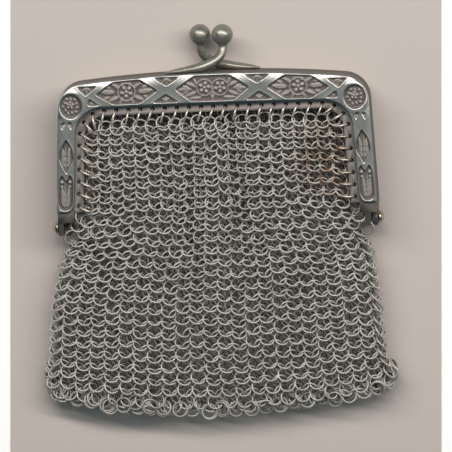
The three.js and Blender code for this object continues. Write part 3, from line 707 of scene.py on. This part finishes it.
def tie_rings():
    ties = []
    for facing in (1, -1):
        for (x, y), (in_x, in_y) in zip(*flange_holes()):
            on_leg = x * facing > 25 and y < 22
            slant = math.radians((LEG_SLANT if on_leg else TIE_SLANT) + dice.gauss(0, 3))
            cos, sin = math.cos(slant), math.sin(slant)
            reach = Vector((in_x * cos - in_y * sin, in_x * sin + in_y * cos, 0))
            if facing < 0:
                reach.x, x = -reach.x, -x
            middle = Vector((x, y, MIDDLE_Z + facing * TIE_OFF)) + reach * TIE_REACH
            normal = reach.cross(Vector((0, 0, 1))) + Vector((0, 0, dice.gauss(0, 0.06)))
            ties.append((middle, *facing_ring(normal, reach), TIE_R, WIRE_R, TIE_WEAR))
    return ties


joined_rings("tie_rings", tie_rings(), TIE_SILVER, TIE_TURNS, TIE_SIDES)

# The struck face of a jaw, as heights on a grid
FACE_Z = 8.95
FLOOR_Z = 8.46
CUT_Z = 8.40
DISC_X, DISC_Y, DISC_R = 28.4, 24.2, 2.2
LEG_STEPS, CORNER_STEPS, BAR_STEPS, ACROSS_STEPS = 130, 46, 168, 40
CORNER_SHARPNESS = 9.0
LEAF_HIGH = 0.30
RIB_PITCH = 0.40
PETALS = 5
BUDS = 11
FAN_SPREAD = 0.75
PLATE_WALL_WEAR = 0.4

# Leaves of the side panels: angle, start, length, width and curl
SIDE_LEAVES = [
    (0.05, 2.3, 3.4, 0.62, 0.02), (0.75, 1.9, 1.9, 0.42, -0.10), (-0.62, 1.9, 2.4, 0.46, 0.10),
    (1.25, 1.8, 1.1, 0.30, 0.0), (-1.15, 1.8, 1.5, 0.34, 0.12), (0.42, 3.4, 1.7, 0.34, 0.0),
    (-0.35, 3.5, 1.8, 0.34, 0.0),
]
# Leaves of the middle panel: angle, place of the base, length, width and curl
MIDDLE_LEAVES = [
    (0.0, 4.1, 26.75, 3.0, 0.50, 0.0), (0.62, 3.3, 27.1, 2.4, 0.45, -0.06), (-0.50, 3.2, 26.2, 2.6, 0.46, 0.08),
    (1.15, 3.1, 27.6, 1.5, 0.30, 0.0), (-0.12, 2.0, 25.1, 3.0, 0.36, 0.03), (0.28, 4.6, 27.1, 1.7, 0.30, 0.0),
    (-0.30, 4.7, 26.3, 1.6, 0.30, 0.0),
]
# Corners of a leg's panels: height, and place across from the inner edge
CUP_CORNERS = ((20.9, 0.20), (20.2, 0.17), (18.2, 0.42), (18.2, 0.58), (20.2, 0.84), (20.9, 0.80))
KITE_CORNERS = ((17.6, 0.5), (15.6, 0.17), (13.6, 0.08), (10.7, 0.48), (13.6, 0.92), (15.6, 0.84))
FOOT_CORNERS = (
    (10.4, 0.24), (9.6, 0.12), (4.6, 0.10), (3.6, 0.26), (3.3, 0.52),
    (3.6, 0.80), (4.6, 0.92), (9.6, 0.88), (10.4, 0.76),
)


def bar_y(x, share):
    """A height on the bar's face: 0 at its lower edge and 1 at its top."""
    low = 23.9 - 0.15 * (x / 28.4) ** 2
    return low + (29.93 - 1.98 * (x / 31.5) ** 2 - low) * share


def leg_spot(side, y, share):
    """A place on a leg's face: 0 at its inner edge and 1 at its outer edge."""
    return side * (leg_half(FACE_EDGE, y) + LEG_WIDE * share), y


def from_stem(x, side, y):
    """How far each place is from a leg's middle line, as that lies at one height."""
    return np.abs(x * side - leg_half(FACE_EDGE, y) - LEG_WIDE / 2)


def from_disc(x, y, side):
    """How far each place is from the middle of a shoulder's disc, which is slightly taller than wide."""
    return np.hypot((x - side * DISC_X) * 1.02, (y - DISC_Y) / 1.08)


def inside_of(x, y, corners):
    """How far each place lies inside a convex outline, negative outside it, with slightly rounded corners."""
    corners = np.array(corners, float)
    middle = corners.mean(0)
    total = np.zeros_like(x)
    for a, b in zip(corners, np.roll(corners, -1, 0)):
        way = (b - a) / np.linalg.norm(b - a)
        n = np.array([-way[1], way[0]])
        if (middle - a) @ n < 0:
            n = -n
        total += np.exp(np.clip(-CORNER_SHARPNESS * ((x - a[0]) * n[0] + (y - a[1]) * n[1]), -60, 60))
    return -np.log(total) / CORNER_SHARPNESS


def blob(x, y, place, radius, high, flat=1.0, turn=0.0):
    """A round boss, or an oval one."""
    dx, dy = x - place[0], y - place[1]
    u = dx * math.cos(turn) + dy * math.sin(turn)
    v = (dy * math.cos(turn) - dx * math.sin(turn)) / flat
    return high * np.sqrt(np.clip(1 - (u * u + v * v) / radius**2, 0, 1))


def leaf(x, y, base, turn, length, width, curl=0.0):
    """A lobed leaf from its base along its turn, with a groove down its middle and ribs slanting off it."""
    dx, dy = x - base[0], y - base[1]
    u = dx * math.cos(turn) + dy * math.sin(turn)
    v = dy * math.cos(turn) - dx * math.sin(turn) - curl * u * u
    share = np.clip(u / length, 0, 1)
    lobes = 1 + 0.16 * np.cos(2 * math.pi * u / RIB_PITCH)
    half = width * np.sin(math.pi * share**0.75) ** 0.8 * lobes + 1e-6
    body = LEAF_HIGH * np.sqrt(np.clip(1 - (v / half) ** 2, 0, 1)) * (u > 0) * (u < length)
    rib = 0.05 + 0.05 * np.cos(2 * math.pi * (u - 1.3 * np.abs(v)) / RIB_PITCH)
    return np.maximum(body - (rib + 0.10 * np.exp(-((v / 0.08) ** 2))) * (body > 0), 0)


def wreath(x, y, place, radius, width, high):
    away = np.hypot(x - place[0], y - place[1]) - radius
    return high * np.exp(-((away / width) ** 2))


def flower(x, y, place, radius, first):
    parts = [blob(x, y, place, radius * 0.24, 0.36)]
    for n in range(PETALS):
        angle = first + 2 * math.pi * n / PETALS
        spot = (place[0] + radius * 0.6 * math.cos(angle), place[1] + radius * 0.6 * math.sin(angle))
        parts.append(blob(x, y, spot, radius * 0.34, 0.32, 0.86, angle))
    return np.maximum.reduce(parts)


def six_corners(middle, tip, low, top):
    """Corners of a panel along the bar, with a point at both ends, from half its length at each height."""
    edge = ((-tip, 0.5), (-low, 0.085), (low, 0.085), (tip, 0.5), (top, 0.925), (-top, 0.925))
    return [(middle + dx, bar_y(middle + dx, share)) for dx, share in edge]


def side_panel(x, y, middle, way):
    """A six-sided panel with one flower in a wreath and leaves to both tips."""
    corners = six_corners(middle, 6.15, 2.65, 2.65)
    spot = (middle, bar_y(middle, 0.51))
    relief = [flower(x, y, spot, 1.45, 0.4 * way), wreath(x, y, spot, 1.72, 0.14, 0.26)]
    for side in (-1, 1):
        for angle, start, length, width, curl in SIDE_LEAVES:
            turn = angle if side > 0 else math.pi - angle
            base = (middle + side * start * math.cos(angle), spot[1] - 0.1 + start * math.sin(angle) * 0.62)
            relief.append(leaf(x, y, base, turn, length, width, curl * side))
    return inside_of(x, y, corners), np.maximum.reduce(relief)


def middle_panel(x, y):
    """The longer panel under the clasp, with two flowers, leaves to both tips and a sprig between."""
    corners = six_corners(0.0, 7.35, 4.3, 3.5)
    relief = []
    for side in (-1, 1):
        spot = (side * 1.55, 27.0)
        relief += [flower(x, y, spot, 1.4, 0.5 + 0.4 * side), wreath(x, y, spot, 1.62, 0.12, 0.22)]
        for angle, start_x, start_y, length, width, curl in MIDDLE_LEAVES:
            turn = angle if side > 0 else math.pi - angle
            relief.append(leaf(x, y, (side * start_x, start_y), turn, length, width, curl * side))
    for lean, length in ((0.0, 2.6), (0.35, 1.3), (-0.35, 1.3)):
        relief.append(leaf(x, y, (0, 24.6), QUARTER + lean, length, 0.22))
    return inside_of(x, y, corners), np.maximum.reduce(relief)


def fan_panels(x, y, side):
    """The three-cornered panels between the long ones, each with a fan of leaves."""
    for x0, x1, base, point_x, point_y, turn in (
        (6.4, 11.7, bar_y(9, 0.93), 9.1, bar_y(9.1, 0.64), -1),
        (6.8, 11.95, bar_y(9, 0.08), 9.3, bar_y(9.3, 0.36), 1),
        (22.9, 27.1, bar_y(25, 0.87), 25.3, bar_y(25, 0.49), -1),
        (22.7, 24.85, bar_y(24, 0.08), 24.7, bar_y(24, 0.36), 1),
    ):
        corners = [(side * x0, base), (side * x1, base), (side * point_x, point_y)]
        start = (side * (x0 + x1 + point_x) / 3, base + turn * 0.12)
        length = abs(point_y - base) * 0.8
        leaves = [leaf(x, y, start, turn * QUARTER + FAN_SPREAD * n, length, 0.24) for n in (-1, 0, 1)]
        yield inside_of(x, y, corners), np.maximum.reduce(leaves)


def disc_panel(x, y, side):
    """The round panel at a shoulder, with a flower in a ring of buds."""
    bloom = [flower(x, y, (side * DISC_X - 0.1, DISC_Y + 0.2), 0.95, 0.2)]
    for n in range(BUDS):
        angle, far = 0.35 + 2 * math.pi * n / BUDS, 1.28 + 0.22 * (n % 2)
        base = (side * DISC_X + far * math.cos(angle), DISC_Y + far * math.sin(angle) * 1.06)
        bloom.append(blob(x, y, base, 0.34, 0.24, 0.7, angle + 0.6))
    return DISC_R - from_disc(x, y, side), np.maximum.reduce(bloom)


def buds(x, y, side, height, shares, radius, high):
    return [blob(x, y, leg_spot(side, height, share), radius, high) for share in shares]


def sprays(x, y, side, heights, length, turn, width):
    """Pairs of leaves one above the other, on both sides of a stem up the middle of a leg."""
    return [
        leaf(
            x, y, leg_spot(side, height, 0.5 + 0.07 * way),
            QUARTER - side * way * turn, length, width, 0.06 * side * way,
        )
        for height in heights for way in (-1, 1)
    ]


def leg_panels(x, y, side):
    """A leg's three panels from the top down: a cup with a strap over it, a kite and a long foot with a notch."""
    def within(corners):
        return inside_of(x, y, [leg_spot(side, *corner) for corner in corners])

    cup = buds(x, y, side, 20.25, (0.27, 0.74), 0.42, 0.36)
    for share, lean in ((0.36, 0.35), (0.64, -0.35)):
        cup.append(leaf(x, y, leg_spot(side, 18.9, share), QUARTER + lean, 1.1, 0.22))
    strap = eased(from_stem(x, side, 19.5) - (20.95 - y) * 0.55, 0.35, 0.10) * (y < 21.0) * (y > 18.0)
    yield np.minimum(within(CUP_CORNERS), 0.3 - 0.55 * strap), np.maximum.reduce(cup)

    kite = [leaf(x, y, leg_spot(side, 11.0, 0.5), QUARTER, 6.2, 0.20)]
    kite += sprays(x, y, side, (11.9, 13.0, 14.1), 2.2, 0.42, 0.32)
    yield within(KITE_CORNERS), np.maximum.reduce(kite)

    notch = eased(from_stem(x, side, 10.0) - (y - 9.3) * 0.55, 0.30, 0.05) * eased(y, 9.0, 9.4)
    foot = buds(x, y, side, 9.0, (0.27, 0.73), 0.40, 0.34) + buds(x, y, side, 8.1, (0.27, 0.73), 0.28, 0.26)
    foot.append(leaf(x, y, leg_spot(side, 3.5, 0.5), QUARTER, 5.7, 0.22))
    foot += sprays(x, y, side, (3.9, 4.9, 5.9), 2.5, 0.36, 0.34)
    yield np.minimum(within(FOOT_CORNERS), 0.3 - 0.6 * notch), np.maximum.reduce(foot)


def panels(x, y):
    """Each sunk panel of one jaw: how far inside it a place is, and the relief on its floor."""
    yield side_panel(x, y, -17.15, -1)
    yield side_panel(x, y, 17.15, 1)
    yield middle_panel(x, y)
    for side in (-1, 1):
        yield from fan_panels(x, y, side)
        yield disc_panel(x, y, side)
        yield from leg_panels(x, y, side)


def face_grid():
    """Places across the jaw's face from its outer edge to its inner one, and the two edges, with rounded feet."""
    outer = arch(OUTER_EDGE, FOOT_Y, LEG_STEPS, CORNER_STEPS, BAR_STEPS)
    inner = arch(FACE_EDGE, FOOT_Y, LEG_STEPS, CORNER_STEPS, BAR_STEPS)
    low = inner[:, 1] < FOOT_Y + FOOT_ROUND
    rise = FOOT_Y + FOOT_ROUND - inner[low, 1]
    inner[low, 0] += np.sign(inner[low, 0]) * (FOOT_ROUND - np.sqrt(np.maximum(FOOT_ROUND**2 - rise**2, 0)))
    closer_at_edges = (1 - np.cos(np.linspace(0, math.pi, ACROSS_STEPS + 1))) / 2
    share = closer_at_edges * 0.35 + np.linspace(0, 1, ACROSS_STEPS + 1) * 0.65
    return outer, inner, share


def bare_face(x, y, from_out, from_in):
    """The face without its panels, rolled off towards the outer edge and the feet, with a ring round each disc."""
    sloped = eased(y, 20.0, 24.5)
    face = FACE_Z - (0.03 + 0.044 * sloped) * np.clip(2.3 - from_out, 0, None) ** 2
    face -= 0.14 * np.clip(1 - from_out / 0.3, 0, 1) ** 2 + 0.16 * np.clip(1 - from_in / 0.35, 0, 1) ** 2
    foot = np.clip(1 - (y - FOOT_Y) / 0.3, 0, 1)
    face -= 0.16 * foot**2
    for side in (-1, 1):
        bead = np.exp(-(((from_disc(x, y, side) - 2.62) / 0.34) ** 2))
        face += 0.09 * bead * eased(from_out, 0.0, 0.4) * eased(from_in, 0.0, 0.4)
    return face


def struck_face():
    """The ornamented face of a jaw as a closed plate: its places, its faces and how rubbed each place is."""
    outer, inner, share = face_grid()
    flat = outer[:, None, :] + (inner - outer)[:, None, :] * share[None, :, None]
    x, y = flat[..., 0], flat[..., 1]
    width = np.linalg.norm(inner - outer, axis=1)[:, None]
    from_out, from_in = share[None, :] * width, (1 - share[None, :]) * width
    face = bare_face(x, y, from_out, from_in)
    height, wear = face.copy(), np.ones_like(face)
    for depth, relief in panels(x, y):
        sunk = eased(depth, -0.07, 0.20)
        carved = FLOOR_Z + 0.85 * relief * eased(depth, 0.05, 0.35)
        carved = np.minimum(carved, face - 0.04)
        lip = 0.035 * np.exp(-(((depth + 0.14) / 0.12) ** 2))
        height = height * (1 - sunk) + carved * sunk + lip
        floor_wear = 0.02 + 0.62 * np.clip(relief / 0.3, 0, 1)
        wear = wear * (1 - sunk) + floor_wear * sunk
    height = np.minimum(height, THICK)
    soft = height.copy()
    for _ in range(3):
        soft[1:-1] = (soft[:-2] + 2 * soft[1:-1] + soft[2:]) / 4
        soft[:, 1:-1] = (soft[:, :-2] + 2 * soft[:, 1:-1] + soft[:, 2:]) / 4
    wear = np.clip(wear - 3.0 * np.clip(soft - height, 0, 1), 0, 1)
    rows, cols = x.shape
    n = rows * cols
    top = np.stack([x, y, height], -1).reshape(-1, 3)
    outer_low, inner_low = (np.column_stack([edge, np.full(rows, CUT_Z - 0.06)]) for edge in (outer, inner))
    verts = np.vstack([top, outer_low, inner_low])
    at = np.arange(n).reshape(rows, cols)
    quads = [np.stack([at[:-1, :-1], at[:-1, 1:], at[1:, 1:], at[1:, :-1]], -1).reshape(-1, 4)[:, ::-1]]
    line = np.arange(rows)
    out_low, in_low = n + line, n + rows + line
    quads.append(np.stack([at[:-1, 0], out_low[:-1], out_low[1:], at[1:, 0]], -1)[:, ::-1])
    quads.append(np.stack([at[:-1, -1], at[1:, -1], in_low[1:], in_low[:-1]], -1)[:, ::-1])
    quads.append(np.stack([out_low[:-1], in_low[:-1], in_low[1:], out_low[1:]], -1)[:, ::-1])
    faces = [tuple(q) for q in np.vstack(quads)]
    faces.append((*at[0, :], in_low[0], out_low[0]))
    faces.append((*at[-1, ::-1], out_low[-1], in_low[-1]))
    wear = np.concatenate([wear.ravel(), np.full(2 * rows, PLATE_WALL_WEAR)])
    return verts, faces, wear


FACE_VERTS, FACE_FACES, FACE_WEAR = struck_face()


def solid_mesh(name, verts, faces, facing):
    """A mesh from places in millimetres on the front half, turned over where it belongs to the back half."""
    if facing < 0:
        verts = np.column_stack([-verts[:, 0], verts[:, 1], THICK - verts[:, 2]])
    mesh = bpy.data.meshes.new(name)
    mesh.from_pydata(((verts + np.array(SHIFT)) * MM).tolist(), [], faces)
    mesh.update()
    return mesh


def merged_copy(name, node):
    """A copy of a CAD node with its corners joined and its flat faces whole."""
    piece = new_object(name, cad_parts[node].data.copy())
    piece.data.materials.clear()
    edit_all(piece)
    bpy.ops.mesh.remove_doubles(threshold=0.002 * MM)
    bpy.ops.mesh.dissolve_limited(angle_limit=math.radians(0.6))
    bpy.ops.object.mode_set(mode="OBJECT")
    return piece


def soften(piece, width, angle):
    bevel = piece.modifiers.new("softened_edges", "BEVEL")
    bevel.width = width * MM
    bevel.segments = 2
    bevel.limit_method = "ANGLE"
    bevel.angle_limit = math.radians(angle)
    pick(piece)
    bpy.ops.object.modifier_apply(modifier=bevel.name)


def cut_face_off(body, facing):
    """Takes off what lies above the plate's underside and closes the cut."""
    edit_all(body)
    cut = MIDDLE_Z + facing * (CUT_Z - MIDDLE_Z)
    bpy.ops.mesh.bisect(plane_co=(0, 0, cut * MM), plane_no=(0, 0, facing), clear_outer=True, threshold=1e-7)
    bpy.ops.mesh.select_all(action="DESELECT")
    bpy.ops.mesh.select_mode(type="EDGE")
    bpy.ops.mesh.select_non_manifold()
    bpy.ops.mesh.fill(use_beauty=True)
    bpy.ops.object.mode_set(mode="OBJECT")


def dressed_jaw(name, node, facing):
    """The CAD jaw cut off under its face, with the struck face on it."""
    body = merged_copy(name, node)
    soften(body, 0.08, 24)
    cut_face_off(body, facing)
    places = np.empty(len(body.data.vertices) * 3, np.float32)
    body.data.vertices.foreach_get("co", places)
    from_middle = np.abs(places.reshape(-1, 3)[:, 2] / MM - MIDDLE_Z)
    on_flange = (from_middle > 2.4) & (from_middle < 3.3)
    set_wear(body, np.where(on_flange, 0.26, 0.0))
    plate = new_object(name + "_face", solid_mesh(name + "_face", FACE_VERTS, FACE_FACES, facing))
    set_wear(plate, FACE_WEAR)
    pick(body, plate)
    bpy.ops.object.join()
    body.data.materials.clear()
    body.data.materials.append(JAW_SILVER)
    pick(body)
    bpy.ops.object.shade_smooth_by_angle(angle=math.radians(48))
    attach(body, "root")
    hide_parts(node)


dressed_jaw("struck_front_jaw", "front_jaw", 1)
dressed_jaw("struck_back_jaw", "back_jaw", -1)

# The kiss lock
ARM_SIDES = 20
STATION_STEPS = 6
BALL_STEPS = 20
BALL_R = 2.12
BALL_AT = (2.27, 37.2, 5.30)
# Along an arm of the front jaw: place, half height and half width
ARM_STATIONS = np.array([
    (-9.4, 30.05, 6.83, 0.12, 0.20), (-7.8, 30.24, 6.83, 0.44, 0.95), (-5.6, 30.46, 6.83, 0.70, 1.30),
    (-3.4, 30.72, 6.83, 0.90, 1.20), (-1.4, 31.16, 6.76, 0.98, 1.00), (0.4, 31.92, 6.46, 0.96, 0.90),
    (1.65, 32.95, 5.95, 0.90, 0.85), (2.18, 33.95, 5.50, 0.84, 0.80), (2.28, 34.75, 5.32, 0.82, 0.79),
    (2.27, 35.10, 5.30, 0.90, 0.88), (2.27, 35.34, 5.30, 1.06, 1.06),
])


def arm_path():
    """A smooth path through the stations, then the ball's rings. Each row is a place, half height and half width."""
    path = []
    last = len(ARM_STATIONS) - 1
    for k in range(last):
        before, a, b, after = (ARM_STATIONS[min(max(k + d, 0), last)] for d in (-1, 0, 1, 2))
        for t in np.linspace(0, 1, STATION_STEPS, endpoint=False):
            path.append(0.5 * (2 * a + (b - before) * t + (2 * before - 5 * a + 4 * b - after) * t**2
                               + (3 * a - before - 3 * b + after) * t**3))
    ball_x, ball_y, ball_z = BALL_AT
    for angle in np.linspace(math.radians(30), math.radians(176), BALL_STEPS):
        radius = BALL_R * math.sin(angle)
        path.append(np.array([ball_x, ball_y - BALL_R * math.cos(angle), ball_z, radius, radius]))
    return np.array(path)


def clasp_arm(name, node, facing):
    """A horn-shaped arm: a leaf foot along the jaw's top, a stem and a ball, in one skin."""
    path = arm_path()
    along = np.gradient(path[:, :3], axis=0)
    along /= np.linalg.norm(along, axis=1)[:, None]
    wide = np.array([0.0, 0, 1]) - along * along[:, 2:3]
    wide /= np.linalg.norm(wide, axis=1)[:, None]
    high = np.cross(along, wide)
    angles = np.linspace(0, 2 * math.pi, ARM_SIDES, endpoint=False)
    rings = (
        path[:, None, :3]
        + wide[:, None, :] * (path[:, 4, None] * np.cos(angles))[..., None]
        + high[:, None, :] * (path[:, 3, None] * np.sin(angles))[..., None]
    )
    verts = np.vstack([rings.reshape(-1, 3), rings[0].mean(0), rings[-1].mean(0)])
    rows = len(path)
    first_tip, last_tip, last_ring = rows * ARM_SIDES, rows * ARM_SIDES + 1, (rows - 1) * ARM_SIDES
    ring = [(s, (s + 1) % ARM_SIDES) for s in range(ARM_SIDES)]
    faces = [
        (r * ARM_SIDES + s, r * ARM_SIDES + n, (r + 1) * ARM_SIDES + n, (r + 1) * ARM_SIDES + s)
        for r in range(rows - 1) for s, n in ring
    ]
    for s, n in ring:
        faces += [(first_tip, n, s), (last_tip, last_ring + s, last_ring + n)]
    piece = new_object(name, solid_mesh(name, verts, faces, facing))
    piece.data.materials.append(CLASP_SILVER)
    edit_all(piece)
    bpy.ops.mesh.normals_make_consistent(inside=False)
    bpy.ops.object.mode_set(mode="OBJECT")
    bpy.ops.object.shade_smooth()
    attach(piece, "root")
    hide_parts(node)


clasp_arm("front_clasp_arm", "front_clasp", 1)
clasp_arm("back_clasp_arm", "back_clasp", -1)


def dressed_rivet(name, node):
    piece = merged_copy(name, node)
    piece.data.materials.append(RIVET_SILVER)
    soften(piece, 0.08, 35)
    bpy.ops.object.shade_smooth_by_angle(angle=math.radians(40))
    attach(piece, "root")
    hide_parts(node)


dressed_rivet("left_rivet", "left_hinge_rivet")
dressed_rivet("right_rivet", "right_hinge_rivet")
